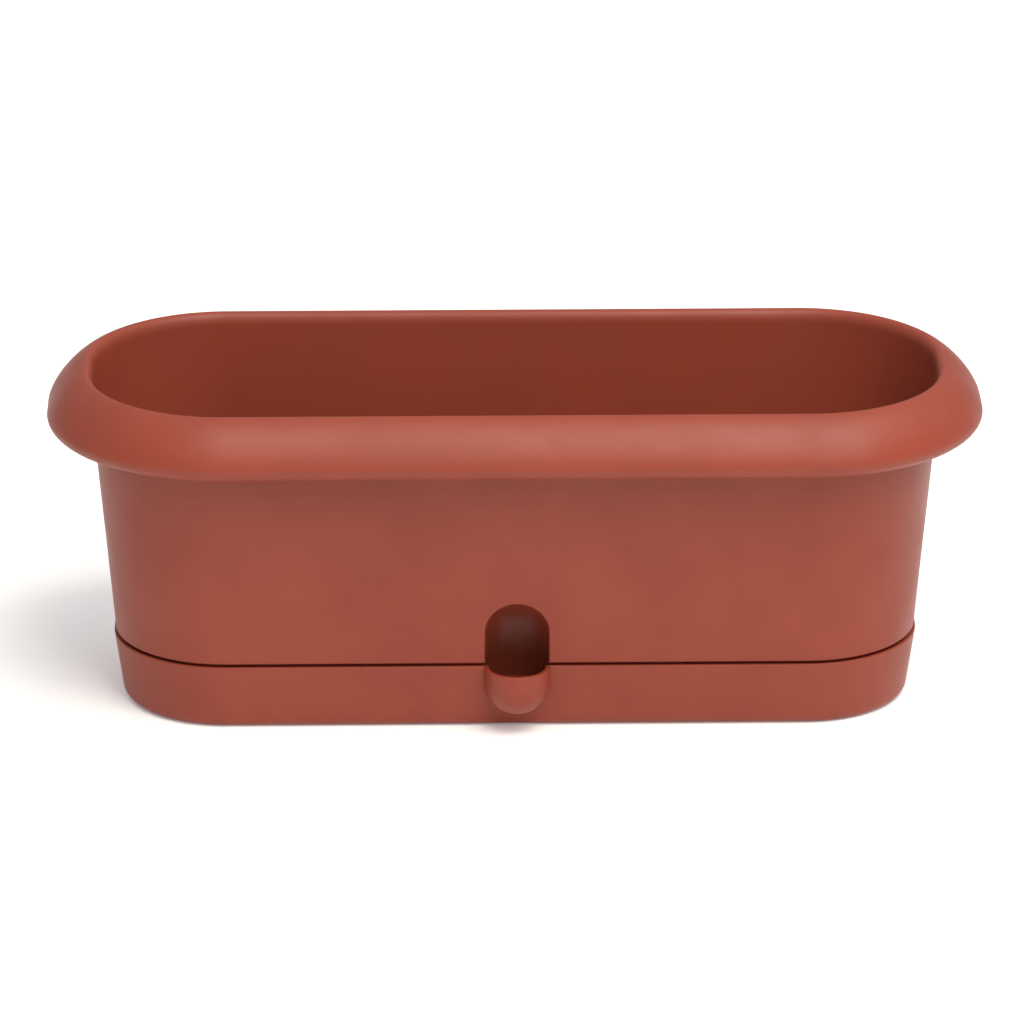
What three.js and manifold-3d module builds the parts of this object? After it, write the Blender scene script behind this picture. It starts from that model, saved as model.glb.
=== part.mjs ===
// A self-watering window-box planter, in millimetres, +Z up.
// The origin is the middle of the face that stands on the floor, and the filling well is on the -Y side.
//
// Two moulded shells nest in each other: a water tray, and a planting pot whose foot drops into it.
// The pot's floor stands on six posts in the tray, above the highest water level. Water is poured into
// a well that is half in each shell: a cup bulges out of the tray, and a niche is sunk into the pot.
// Inside the pot two slotted grid tiles keep the soil off the floor, and two felt wicks saddle each
// tile and hang through the floor into the water.

import * as THREE from "three";
import { mergeVertices } from "three/addons/utils/BufferGeometryUtils.js";
import Module from "manifold-3d";

const wasm = await Module();
wasm.setup();

// ---- Driving dimensions ----

// Every level of both shells is one outline: four corner arcs about the same four centres,
// so a level is known by its corner radius alone.
const CORNER_X = 124;
const CORNER_Y = 7.5;
const ARC_DIVISIONS = 4; // getPoints makes twice as many segments in each corner arc
const CURVE_STEPS = 6; // steps in a rounded stretch of a wall's section

const HEIGHT = 146.8; // crest of the rim
const WALL = 2.0;
const RIM_WALL = 2.3;
const GAP = 0.3; // between solids that only touch

// Tray
const TRAY_HEIGHT = 29;
const TRAY_BRIM_R = 48.9; // outside, at the brim
const TRAY_BASE_R = 45.5; // outside, where the wall meets the base curve
const TRAY_EDGE_R = 5; // rounding of the base edge
const TRAY_FLOOR = 2.3; // thickness of the standing ring
const PANEL_LIFT = 1.5; // the tray's middle is raised off the ground by this much
const PANEL_R = 31;

// Pot
const SEAM = 1.2; // open line between the tray's brim and the pot's ledge
const LEDGE_Z = TRAY_HEIGHT + SEAM;
const POT_LEDGE_R = 48.2; // outside, just above the ledge
const WALL_SLOPE = 0.0885; // the wall leans out by this much for each millimetre of height
const POT_FLOOR_Z = 30; // top of the pot's floor
const POT_FLOOR = 2.2;
const FOOT_Z = 12; // lowest edge of the pot's foot skirt
const FOOT_TOP_R = 45.8;
const FOOT_SLOPE = 0.137;

// Rolled rim: the outer curve starts at the crest, is widest at RIM_WIDE_Z and curls in under itself.
const RIM_CREST_R = 58.4;
const RIM_WIDE_R = 76;
const RIM_WIDE_Z = 128;
const RIM_LIP_R = 67.3;
const RIM_LIP_Z = 121.8;
const RIM_POWER = 1.44; // 1 is an ellipse's quarter; more is flatter
const MOUTH_FILLET = 3.4; // height of the rounding between the inner wall and the crest
const INNER_STEP_Z = 120; // the inner wall is thicker from here down
const INNER_STEP = 0.5;

// Filling well: upright, centred on the pot's outer face at the seam
const WELL_Y = -(CORNER_Y + POT_LEDGE_R + 0.2);
const NICHE_R = 13.5;
const NICHE_DOME_Z = 44.4; // centre of the niche's domed top
const CUP_R = 14; // outside of the cup
const CUP_BOWL_Z = 22; // centre of the cup's rounded bottom
const WELL_SEGMENTS = 32;

// Posts in the tray that carry the pot's floor
const POST_R = 7;
const POST_BORE_R = 5;
const POST_X = 90;
const POST_Y = 24;
const POST_SEGMENTS = 12;

// Grid tiles: one fills each half of the pot
const TILE_Z = 36; // underside of the plate
const TILE_PLATE = 2;
const TILE_R = 45; // corner radius of the tile's outline
const TILE_MIDDLE_GAP = 0.8; // from the pot's middle to the tile's straight edge
const TILE_NOTCH_R = NICHE_R + WALL + 1.8; // clears the niche's back
const PEG_R = 2.5;
const PEG_SEGMENTS = 8;
const PEGS = [[8, 47.5], [90.5, 47.5], [144.5, 30], [144.5, -30], [90.5, -47.5], [26, -47.5], [90.5, 0]];
const DRAIN_SLOT = { x: 3, y: 12 };
const DRAIN_PITCH = { x: 9, y: 18.5 };

// Felt wicks: a strip bent over a tile, with both tails in the water
const FELT = 3;
const FELT_WIDTH = 20;
const WICK_X = [55, 128]; // middle of each wick, from the pot's middle
const TAIL_X = 12; // from the middle of a wick to the middle of its tail
const TAIL_Z = 4.8; // lower end of a tail
const FELT_BEND_R = 3.5; // outer radius where the strip turns down
const WICK_SLOT = { x: 3.8, y: 21 }; // in the tiles and in the pot's floor

// Drain holes through the pot's floor
const FLOOR_HOLE_R = 1.9;
const FLOOR_HOLE_X = [24, 78, 102, 152];
const FLOOR_HOLE_Y = 34;
const FLOOR_HOLE_SEGMENTS = 8;

// ---- Materials ----

const terracotta = new THREE.MeshStandardMaterial({ color: 0xa3543f, roughness: 0.55, metalness: 0 });
const gridPlastic = new THREE.MeshStandardMaterial({ color: 0x3b3b3c, roughness: 0.6, metalness: 0 });
const felt = new THREE.MeshStandardMaterial({ color: 0xd9d6cc, roughness: 0.95, metalness: 0 });

// ---- Solids: from three.js geometry to manifold-3d and back ----

function solidOf(geometry) {
  const bare = geometry.clone();
  bare.deleteAttribute("normal");
  bare.deleteAttribute("uv");
  const merged = mergeVertices(bare, 1e-3);
  const corners = merged.index.array;
  const kept = [];
  for (let i = 0; i < corners.length; i += 3) {
    const [a, b, c] = [corners[i], corners[i + 1], corners[i + 2]];
    if (a !== b && b !== c && c !== a) kept.push(a, b, c);
  }
  return new wasm.Manifold(
    new wasm.Mesh({
      numProp: 3,
      vertProperties: merged.attributes.position.array,
      triVerts: new Uint32Array(kept),
    }),
  );
}

function geometryOf(solid) {
  const mesh = solid.getMesh();
  const positions = new Float32Array(mesh.numVert * 3);
  for (let i = 0; i < mesh.numVert; i++) {
    positions.set(mesh.vertProperties.subarray(i * mesh.numProp, i * mesh.numProp + 3), i * 3);
  }
  const geometry = new THREE.BufferGeometry();
  geometry.setAttribute("position", new THREE.BufferAttribute(positions, 3));
  geometry.setIndex(new THREE.BufferAttribute(mesh.triVerts, 1));
  geometry.computeVertexNormals();
  return geometry;
}

// ---- Outlines and sections ----

// Four corner arcs about (+-CORNER_X, +-CORNER_Y), joined by straights, anticlockwise.
function outline(radius) {
  const path = new THREE.Shape();
  path.absarc(CORNER_X, CORNER_Y, radius, 0, Math.PI / 2);
  path.absarc(-CORNER_X, CORNER_Y, radius, Math.PI / 2, Math.PI);
  path.absarc(-CORNER_X, -CORNER_Y, radius, Math.PI, 1.5 * Math.PI);
  path.absarc(CORNER_X, -CORNER_Y, radius, 1.5 * Math.PI, 2 * Math.PI);
  path.closePath();
  return path;
}

function loopAt({ x: radius, y: z }) {
  const points = outline(radius).getPoints(ARC_DIVISIONS);
  points.pop(); // the closing point repeats the first
  return points.map((p) => new THREE.Vector3(p.x, p.y, z));
}

// A closed body whose section is a chain of (corner radius, height) points. The chain starts on the
// underside, and its first and last levels are closed with flat faces.
function sweep(section) {
  const loops = section.map(loopAt);
  const count = loops[0].length;
  const positions = loops.flat().flatMap((p) => [p.x, p.y, p.z]);
  const index = [];
  for (let level = 0; level < loops.length - 1; level++) {
    for (let i = 0; i < count; i++) {
      const next = (i + 1) % count;
      const [a, b] = [level * count + i, level * count + next];
      index.push(a, b, b + count, a, b + count, a + count);
    }
  }
  const flat = THREE.ShapeUtils.triangulateShape(
    loops[0].map((p) => new THREE.Vector2(p.x, p.y)),
    [],
  );
  const last = (loops.length - 1) * count;
  for (const [a, b, c] of flat) {
    index.push(a, c, b, last + a, last + b, last + c);
  }
  const geometry = new THREE.BufferGeometry();
  geometry.setAttribute("position", new THREE.Float32BufferAttribute(positions, 3));
  geometry.setIndex(index);
  return solidOf(geometry);
}

// Points of an elliptic quarter (or, with a power above 1, a flatter curve) about a centre.
function curve(centre, radiusR, radiusZ, fromAngle, toAngle, power = 1, steps = CURVE_STEPS) {
  const points = [];
  for (let i = 0; i <= steps; i++) {
    const angle = fromAngle + ((toAngle - fromAngle) * i) / steps;
    const [c, s] = [Math.cos(angle), Math.sin(angle)];
    const r = centre.x + radiusR * Math.sign(c) * Math.abs(c) ** power;
    const z = centre.y + radiusZ * Math.sign(s) * Math.abs(s) ** power;
    points.push(new THREE.Vector2(r, z));
  }
  return points;
}

const at = (radius, z) => new THREE.Vector2(radius, z);
const QUARTER = Math.PI / 2;
const potWallR = (z) => POT_LEDGE_R + (z - LEDGE_Z) * WALL_SLOPE;
const footR = (z) => FOOT_TOP_R - (LEDGE_Z - z) * FOOT_SLOPE;

// ---- Simple solids ----

// An upright body of revolution at (x, y), from a profile of (radius, height) points.
function revolved(profile, x, y, segments) {
  const geometry = new THREE.LatheGeometry(profile, segments);
  geometry.rotateX(QUARTER);
  geometry.translate(x, y, 0);
  return solidOf(geometry);
}

function cylinder(radius, fromZ, toZ, x, y, segments) {
  const geometry = new THREE.CylinderGeometry(radius, radius, toZ - fromZ, segments);
  geometry.rotateX(QUARTER);
  geometry.translate(x, y, (fromZ + toZ) / 2);
  return solidOf(geometry);
}

function block(size, fromZ, toZ, x, y) {
  const geometry = new THREE.BoxGeometry(size.x, size.y, toZ - fromZ);
  geometry.translate(x, y, (fromZ + toZ) / 2);
  return solidOf(geometry);
}

// The well is a capsule cut through both shells: domed on top in the pot, bowl-shaped below in the tray.
function domedWell(radius, fromZ) {
  const dome = curve(at(0, NICHE_DOME_Z), radius, radius, 0, QUARTER);
  return revolved([at(0, fromZ), at(radius, fromZ), ...dome], 0, WELL_Y, WELL_SEGMENTS);
}

function bowlWell(radius, toZ) {
  const bowl = curve(at(0, CUP_BOWL_Z), radius, radius, -QUARTER, 0);
  return revolved([...bowl, at(radius, toZ), at(0, toZ)], 0, WELL_Y, WELL_SEGMENTS);
}

// ---- Water tray ----

function waterTray() {
  const innerEdgeR = TRAY_BASE_R - WALL;
  const outerEdge = at(TRAY_BASE_R - TRAY_EDGE_R, TRAY_EDGE_R);
  const innerRound = TRAY_EDGE_R - TRAY_FLOOR + 1;
  const innerEdge = at(innerEdgeR - innerRound, TRAY_FLOOR + innerRound);
  const innerBrim = at(TRAY_BRIM_R - WALL, TRAY_HEIGHT);
  const shell = sweep([
    at(PANEL_R - 1.5, PANEL_LIFT),
    at(PANEL_R, 0),
    ...curve(outerEdge, TRAY_EDGE_R, TRAY_EDGE_R, -QUARTER, 0, 1, 4),
    at(TRAY_BRIM_R, TRAY_HEIGHT - 0.5),
    at(TRAY_BRIM_R - 0.5, TRAY_HEIGHT),
    innerBrim,
    ...curve(innerEdge, innerRound, innerRound, 0, -QUARTER, 1, 3),
    at(PANEL_R + 1, TRAY_FLOOR),
    at(PANEL_R - 1, TRAY_FLOOR + PANEL_LIFT),
  ]);
  const hollow = sweep([
    at(innerEdgeR - innerRound, TRAY_FLOOR),
    at(innerEdgeR, TRAY_FLOOR + innerRound),
    innerBrim,
    at(TRAY_BRIM_R - WALL, TRAY_HEIGHT + 1),
  ]);
  const cup = bowlWell(CUP_R, TRAY_HEIGHT).subtract(hollow);
  let tray = shell.add(cup).subtract(bowlWell(CUP_R - WALL, TRAY_HEIGHT + 1));
  const postTop = POT_FLOOR_Z - POT_FLOOR - GAP;
  for (const x of [-POST_X, 0, POST_X]) {
    for (const y of [-POST_Y, POST_Y]) {
      const post = cylinder(POST_R, TRAY_FLOOR, postTop, x, y, POST_SEGMENTS);
      const bore = cylinder(POST_BORE_R, TRAY_FLOOR + PANEL_LIFT + 1, postTop + 1, x, y, POST_SEGMENTS);
      tray = tray.add(post).subtract(bore);
    }
  }
  return tray;
}

// ---- Planting pot ----

function rimSection() {
  const innerTopZ = HEIGHT - MOUTH_FILLET;
  const innerTopR = potWallR(innerTopZ) - WALL;
  const mouth = curve(at(RIM_CREST_R, innerTopZ), RIM_CREST_R - innerTopR, MOUTH_FILLET, Math.PI, QUARTER, 1, 4);
  const crestHeight = HEIGHT - RIM_WIDE_Z;
  const width = RIM_WIDE_R - RIM_CREST_R;
  const outer = curve(at(RIM_CREST_R, RIM_WIDE_Z), width, crestHeight, 0, QUARTER, RIM_POWER, 8);
  const curlDepth = RIM_WIDE_Z - RIM_LIP_Z;
  const curl = curve(at(RIM_LIP_R, RIM_WIDE_Z), RIM_WIDE_R - RIM_LIP_R, curlDepth, -QUARTER, 0, 1, 5);
  const underTop = at(potWallR(RIM_WIDE_Z), RIM_WIDE_Z);
  const underWidth = RIM_WIDE_R - RIM_WALL - underTop.x;
  const under = curve(underTop, underWidth, crestHeight - RIM_WALL, QUARTER, 0, RIM_POWER, 7);
  under[0].x += 1.4; // a fillet where the wall runs into the roll
  const underCurl = curve(
    at(RIM_LIP_R, RIM_WIDE_Z),
    RIM_WIDE_R - RIM_WALL - RIM_LIP_R,
    curlDepth - RIM_WALL,
    0,
    -QUARTER,
    1,
    4,
  );
  return [...under, ...underCurl.slice(1), ...curl, ...outer.slice(1), ...mouth.reverse().slice(1)];
}

function plantingPot() {
  const underFloorZ = POT_FLOOR_Z - POT_FLOOR;
  const lowerWall = WALL + INNER_STEP;
  const shell = sweep([
    at(footR(underFloorZ) - WALL - 6, underFloorZ),
    at(footR(underFloorZ) - WALL, underFloorZ),
    at(footR(FOOT_Z) - WALL, FOOT_Z),
    at(footR(FOOT_Z), FOOT_Z),
    at(FOOT_TOP_R, LEDGE_Z),
    at(POT_LEDGE_R - 0.4, LEDGE_Z),
    at(POT_LEDGE_R, LEDGE_Z + 0.4),
    at(potWallR(HEIGHT - RIM_WALL - 3), HEIGHT - RIM_WALL - 3),
    ...rimSection(),
    at(potWallR(INNER_STEP_Z) - WALL, INNER_STEP_Z),
    at(potWallR(INNER_STEP_Z) - lowerWall, INNER_STEP_Z - 1),
    at(potWallR(POT_FLOOR_Z + 4) - lowerWall, POT_FLOOR_Z + 4),
    at(potWallR(POT_FLOOR_Z) - lowerWall - 1.2, POT_FLOOR_Z + 1.2),
    at(potWallR(POT_FLOOR_Z) - lowerWall - 4, POT_FLOOR_Z),
  ]);
  const body = sweep([
    at(footR(FOOT_Z), FOOT_Z),
    at(FOOT_TOP_R, LEDGE_Z),
    at(POT_LEDGE_R - 0.4, LEDGE_Z),
    at(POT_LEDGE_R, LEDGE_Z + 0.4),
    at(potWallR(HEIGHT / 2), HEIGHT / 2),
  ]);
  const nicheWall = domedWell(NICHE_R + WALL, FOOT_Z).intersect(body);
  let pot = shell.add(nicheWall).subtract(domedWell(NICHE_R, FOOT_Z - 5));
  const [below, above] = [underFloorZ - 1, POT_FLOOR_Z + 1];
  for (const side of [-1, 1]) {
    for (const x of WICK_X) {
      for (const tail of [-TAIL_X, TAIL_X]) {
        pot = pot.subtract(block(WICK_SLOT, below, above, side * x + tail, 0));
      }
    }
    for (const x of FLOOR_HOLE_X) {
      for (const y of [-FLOOR_HOLE_Y, FLOOR_HOLE_Y]) {
        pot = pot.subtract(cylinder(FLOOR_HOLE_R, below, above, side * x, y, FLOOR_HOLE_SEGMENTS));
      }
    }
  }
  return pot;
}

// ---- Grid tile, made for the +X half ----

function tileOutline() {
  const half = CORNER_Y + TILE_R;
  const notchRise = Math.asin((-half - WELL_Y) / TILE_NOTCH_R);
  const notchTurn = Math.acos(TILE_MIDDLE_GAP / TILE_NOTCH_R);
  const path = new THREE.Shape();
  path.absarc(0, WELL_Y, TILE_NOTCH_R, notchTurn, notchRise, true);
  path.absarc(CORNER_X, -CORNER_Y, TILE_R, -QUARTER, 0);
  path.absarc(CORNER_X, CORNER_Y, TILE_R, 0, QUARTER);
  path.lineTo(TILE_MIDDLE_GAP, half);
  path.closePath();
  return path;
}

// Drain slots fill the plate in rows, except under the wicks and beside the notch.
function drainSlotCentres() {
  const centres = [];
  const clearOfWick = (x) => WICK_X.every((w) => Math.abs(x - w) > TAIL_X + 8);
  for (let row = -2; row <= 2; row++) {
    for (let x = 14; x <= 156; x += DRAIN_PITCH.x) {
      const y = row * DRAIN_PITCH.y;
      const inEnd = Math.hypot(Math.max(x - CORNER_X, 0), Math.max(Math.abs(y) - CORNER_Y, 0) + 5) < TILE_R - 6;
      const inNotch = Math.hypot(x, y - DRAIN_SLOT.y / 2 - WELL_Y) < TILE_NOTCH_R + 5;
      if (inEnd && !inNotch && (row !== 0 || clearOfWick(x))) centres.push(at(x, y));
    }
  }
  return centres;
}

function gridTile() {
  const geometry = new THREE.ExtrudeGeometry(tileOutline(), {
    depth: TILE_PLATE,
    bevelEnabled: false,
    curveSegments: 10,
  });
  geometry.translate(0, 0, TILE_Z);
  let tile = solidOf(geometry);
  const [below, above] = [TILE_Z - 1, TILE_Z + TILE_PLATE + 1];
  for (const { x, y } of drainSlotCentres()) {
    tile = tile.subtract(block(DRAIN_SLOT, below, above, x, y));
  }
  for (const x of WICK_X) {
    for (const tail of [-TAIL_X, TAIL_X]) {
      tile = tile.subtract(block(WICK_SLOT, below, above, x + tail, 0));
    }
  }
  for (const [x, y] of PEGS) {
    tile = tile.add(cylinder(PEG_R, POT_FLOOR_Z + GAP, TILE_Z + TILE_PLATE / 2, x, y, PEG_SEGMENTS));
  }
  return tile;
}

// ---- Felt wick: a staple-shaped strip, centred on x = 0 ----

function feltWick() {
  const [outer, inner] = [TAIL_X + FELT / 2, TAIL_X - FELT / 2];
  const underZ = TILE_Z + TILE_PLATE + GAP;
  const topZ = underZ + FELT;
  const innerR = FELT_BEND_R - FELT;
  const strip = new THREE.Shape();
  strip.moveTo(outer, TAIL_Z);
  strip.absarc(outer - FELT_BEND_R, topZ - FELT_BEND_R, FELT_BEND_R, 0, QUARTER);
  strip.absarc(FELT_BEND_R - outer, topZ - FELT_BEND_R, FELT_BEND_R, QUARTER, Math.PI);
  strip.lineTo(-outer, TAIL_Z);
  strip.lineTo(-inner, TAIL_Z);
  strip.absarc(innerR - inner, underZ - innerR, innerR, Math.PI, QUARTER, true);
  strip.absarc(inner - innerR, underZ - innerR, innerR, QUARTER, 0, true);
  strip.lineTo(inner, TAIL_Z);
  strip.closePath();
  const geometry = new THREE.ExtrudeGeometry(strip, {
    depth: FELT_WIDTH,
    bevelEnabled: false,
    curveSegments: 5,
  });
  geometry.translate(0, 0, -FELT_WIDTH / 2);
  geometry.rotateX(QUARTER);
  return geometry;
}

// ---- Assembly ----

const planter = new THREE.Group();

function addPiece(parent, name, geometry, material, x = 0) {
  const mesh = new THREE.Mesh(geometry, material);
  mesh.name = name;
  mesh.position.x = x;
  parent.add(mesh);
  return mesh;
}

addPiece(planter, "water_tray", geometryOf(waterTray()), terracotta);
addPiece(planter, "planting_pot", geometryOf(plantingPot()), terracotta);

const tile = gridTile();
const tiles = { right: tile, left: tile.mirror([1, 0, 0]) };
const wick = feltWick();
for (const [side, sign] of [["left", -1], ["right", 1]]) {
  const insert = new THREE.Group();
  addPiece(insert, `grid_tile_${side}`, geometryOf(tiles[side]), gridPlastic);
  addPiece(insert, `felt_wick_${side}_inner`, wick, felt, sign * WICK_X[0]);
  addPiece(insert, `felt_wick_${side}_outer`, wick, felt, sign * WICK_X[1]);
  planter.add(insert);
}

export default planter;
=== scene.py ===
# %% [markdown]
# # A self-watering planter in Blender
#
# The object is a terracotta-coloured window planter in two mouldings. A water tray stands on the
# floor, and a planting pot drops into it and stands on six posts above the water. Water is poured
# into a well that is half in each moulding. Inside the pot, two slotted tiles keep the soil off the
# floor, and felt wicks hang from them through the floor into the water.
#
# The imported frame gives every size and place, in metres. Each step below makes one piece or finish
# as a fine mesh with its own material, and lets it ride on the frame's body of the same name.

import math

import bmesh
import bpy
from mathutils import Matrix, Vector, noise


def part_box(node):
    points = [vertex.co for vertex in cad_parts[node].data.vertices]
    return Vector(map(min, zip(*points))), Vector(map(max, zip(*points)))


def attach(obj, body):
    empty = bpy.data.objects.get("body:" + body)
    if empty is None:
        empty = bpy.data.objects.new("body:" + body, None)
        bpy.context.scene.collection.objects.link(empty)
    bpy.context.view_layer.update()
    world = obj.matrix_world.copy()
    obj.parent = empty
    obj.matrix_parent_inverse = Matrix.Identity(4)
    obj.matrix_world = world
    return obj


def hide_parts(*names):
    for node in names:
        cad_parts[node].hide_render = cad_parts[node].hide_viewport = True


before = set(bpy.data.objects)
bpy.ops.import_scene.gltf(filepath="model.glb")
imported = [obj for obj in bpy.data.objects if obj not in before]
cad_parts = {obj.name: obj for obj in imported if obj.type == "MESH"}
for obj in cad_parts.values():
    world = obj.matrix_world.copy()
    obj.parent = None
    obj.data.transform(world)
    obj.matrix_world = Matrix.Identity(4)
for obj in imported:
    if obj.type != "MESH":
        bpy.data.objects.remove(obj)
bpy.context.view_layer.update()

# %% [markdown]
# ## Sizes
#
# Both mouldings are rounded rectangles at every height, and the four corner arcs keep the same four
# centres all the way up. So one number, the corner radius, says how far out a wall is at any height.
# That makes the whole planter two section drawings in radius and height. The outside sizes are
# measured on the frame, and the rest are the wall thicknesses and radii of the moulds.

# %% Measure the frame and name the sizes
MM = 0.001
tray_low, tray_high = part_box("water_tray")
pot_low, pot_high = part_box("planting_pot")
tile_low, tile_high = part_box("grid_tile_right")

CORNER_X = 124 * MM
CORNER_Y = pot_high.y - (pot_high.x - CORNER_X)
WALL = 2.0 * MM
RIM_WALL = 2.3 * MM
TRAY_TOP = tray_high.z
TRAY_BRIM_R = tray_high.x - CORNER_X
TRAY_BASE_R = TRAY_BRIM_R - 3.4 * MM
TRAY_EDGE_R = 5 * MM
TRAY_FLOOR = 2.3 * MM
PANEL_R = 31 * MM
PANEL_LIFT = 1.5 * MM

SEAM = 1.2 * MM
LEDGE_Z = TRAY_TOP + SEAM
LEDGE_R = TRAY_BRIM_R - 0.7 * MM
WALL_SLOPE = 0.0885
POT_FLOOR_Z = 30 * MM
POT_FLOOR = 2.2 * MM
FOOT_Z = pot_low.z
FOOT_TOP_R = LEDGE_R - 2.4 * MM
FOOT_SLOPE = 0.137

RIM_TOP = pot_high.z
RIM_WIDE_R = pot_high.x - CORNER_X
RIM_WIDE_Z = 128 * MM
RIM_CREST_R = RIM_WIDE_R - 16.5 * MM
RIM_LIP_R = RIM_WIDE_R - 8.7 * MM
RIM_LIP_Z = RIM_WIDE_Z - 6.2 * MM
RIM_POWER = 1.44

CUP_R = 14 * MM
NICHE_R = 13.5 * MM
NICHE_DOME_Z = 44.4 * MM
CUP_BOWL_Z = 22 * MM
WELL_Y = tray_low.y + CUP_R
print(f"corner centres at {CORNER_X:.4f}, {CORNER_Y:.4f}; well at y = {WELL_Y:.4f}")


def pot_wall(z):
    """Corner radius of the pot's outer face at a height."""
    return LEDGE_R + (z - LEDGE_Z) * WALL_SLOPE


def foot_wall(z):
    """Corner radius of the outer face of the pot's foot."""
    return FOOT_TOP_R - (LEDGE_Z - z) * FOOT_SLOPE


# %% [markdown]
# ## Helpers for meshes
#
# Three small helpers are used all through: one links a mesh, one bakes an object's modifiers into a
# plain mesh, and one gives the normals their last polish. Moulded plastic has large plain faces that
# run into tight curves. Weighted normals keep the plain faces looking plain, and only edges that are
# sharper than a set angle stay sharp.

# %% Mesh helpers
def new_object(name, vertices, faces=(), edges=()):
    mesh = bpy.data.meshes.new(name)
    mesh.from_pydata([tuple(v) for v in vertices], list(edges), [tuple(f) for f in faces])
    mesh.validate()
    obj = bpy.data.objects.new(name, mesh)
    bpy.context.scene.collection.objects.link(obj)
    return obj


def remove(*objects):
    for obj in objects:
        bpy.data.objects.remove(obj)


def bake(obj):
    """Turn the object with its modifiers into a plain mesh, and keep its name."""
    depsgraph = bpy.context.evaluated_depsgraph_get()
    mesh = bpy.data.meshes.new_from_object(obj.evaluated_get(depsgraph))
    mesh.name = obj.name
    obj.modifiers.clear()
    obj.data = mesh
    return obj


def edit(obj, change):
    """Run change(bmesh) on the object's mesh."""
    bm = bmesh.new()
    bm.from_mesh(obj.data)
    change(bm)
    bm.to_mesh(obj.data)
    bm.free()
    obj.data.update()


def clean(bm, distance=0.002 * MM):
    bmesh.ops.remove_doubles(bm, verts=bm.verts, dist=distance)
    bmesh.ops.dissolve_degenerate(bm, edges=bm.edges, dist=distance)
    bmesh.ops.recalc_face_normals(bm, faces=bm.faces)


def open_edges(obj):
    """How many edges don't have exactly two faces. A closed solid has none."""
    uses = {}
    for polygon in obj.data.polygons:
        for key in polygon.edge_keys:
            uses[key] = uses.get(key, 0) + 1
    return sum(1 for count in uses.values() if count != 2)


def polish(obj, sharp_degrees=32):
    """Smooth shading with weighted normals, and a plain mesh at the end."""
    edit(obj, clean)
    obj.data.shade_smooth()
    obj.data.set_sharp_from_angle(angle=math.radians(sharp_degrees))
    weighted = obj.modifiers.new("weighted normals", "WEIGHTED_NORMAL")
    weighted.keep_sharp = True
    weighted.weight = 60
    return bake(obj)


# %% [markdown]
# ## Solids to cut and add
#
# The well, the holes and the posts are cut from the mouldings or added to them with exact booleans.
# An upright round solid is a profile spun about an axis. Its first and last profile points are on the
# axis, so it is closed.

# %% Spun solids and booleans
def spun(name, profile, x, y, segments):
    """A closed solid of revolution about the upright line at (x, y)."""
    rings = profile[1:-1]
    vertices = [(x, y, profile[0][1]), (x, y, profile[-1][1])]
    for radius, z in rings:
        for i in range(segments):
            turn = 2 * math.pi * i / segments
            vertices.append((x + radius * math.cos(turn), y + radius * math.sin(turn), z))
    faces = []
    last = 2 + (len(rings) - 1) * segments
    for i in range(segments):
        j = (i + 1) % segments
        faces.append((0, 2 + j, 2 + i))
        faces.append((1, last + i, last + j))
        for level in range(len(rings) - 1):
            start = 2 + level * segments
            faces.append((start + i, start + j, start + segments + j, start + segments + i))
    obj = new_object(name, vertices, faces)
    edit(obj, lambda bm: bmesh.ops.recalc_face_normals(bm, faces=bm.faces))
    return obj


def combine(obj, other, operation):
    """An exact boolean with another solid, which is used up."""
    boolean = obj.modifiers.new(operation, "BOOLEAN")
    boolean.operation = operation
    boolean.solver = "EXACT"
    boolean.object = other
    bake(obj)
    edit(obj, clean)
    remove(other)
    return obj


def arc(radius_at, z_at, radius_r, radius_z, start, stop, steps, power=1.0):
    """Points (radius, height) of an elliptic arc. A power above 1 flattens it."""
    points = []
    for i in range(steps + 1):
        turn = math.radians(start + (stop - start) * i / steps)
        c, s = math.cos(turn), math.sin(turn)
        r = radius_at + radius_r * math.copysign(abs(c) ** power, c)
        z = z_at + radius_z * math.copysign(abs(s) ** power, s)
        points.append((r, z))
    return points


# %% [markdown]
# ## Sweeping a section round the planter
#
# A moulding like this follows one rule: the same section goes all the way round the rounded
# rectangle. Geometry Nodes can say that directly. The tree turns the section and the path into
# curves and sweeps one along the other with Curve to Mesh. The path keeps its normals level, so the
# section stays upright in the corners. The path is made with fine steps in its corners, and the
# section comes in measured from the path.

# %% Node tree that sweeps a section
def sweep_tree():
    tree = bpy.data.node_groups.new("Sweep section", "GeometryNodeTree")
    sockets = tree.interface
    sockets.new_socket("Section", in_out="INPUT", socket_type="NodeSocketGeometry")
    sockets.new_socket("Path", in_out="INPUT", socket_type="NodeSocketObject")
    sockets.new_socket("Material", in_out="INPUT", socket_type="NodeSocketMaterial")
    sockets.new_socket("Shell", in_out="OUTPUT", socket_type="NodeSocketGeometry")
    add = tree.nodes.new
    source, result = add("NodeGroupInput"), add("NodeGroupOutput")
    path_info, path_curve = add("GeometryNodeObjectInfo"), add("GeometryNodeMeshToCurve")
    level, section_curve = add("GeometryNodeSetCurveNormal"), add("GeometryNodeMeshToCurve")
    sweep, realize = add("GeometryNodeCurveToMesh"), add("GeometryNodeRealizeInstances")
    paint = add("GeometryNodeSetMaterial")
    level.mode = "Z_UP"
    link = tree.links.new
    link(source.outputs["Path"], path_info.inputs["Object"])
    link(path_info.outputs["Geometry"], path_curve.inputs["Mesh"])
    link(path_curve.outputs["Curve"], level.inputs["Curve"])
    link(source.outputs["Section"], section_curve.inputs["Mesh"])
    link(level.outputs["Curve"], sweep.inputs["Curve"])
    link(section_curve.outputs["Curve"], sweep.inputs["Profile Curve"])
    link(sweep.outputs["Mesh"], realize.inputs["Geometry"])
    link(realize.outputs["Geometry"], paint.inputs["Geometry"])
    link(source.outputs["Material"], paint.inputs["Material"])
    link(paint.outputs["Geometry"], result.inputs["Shell"])
    return tree


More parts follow.
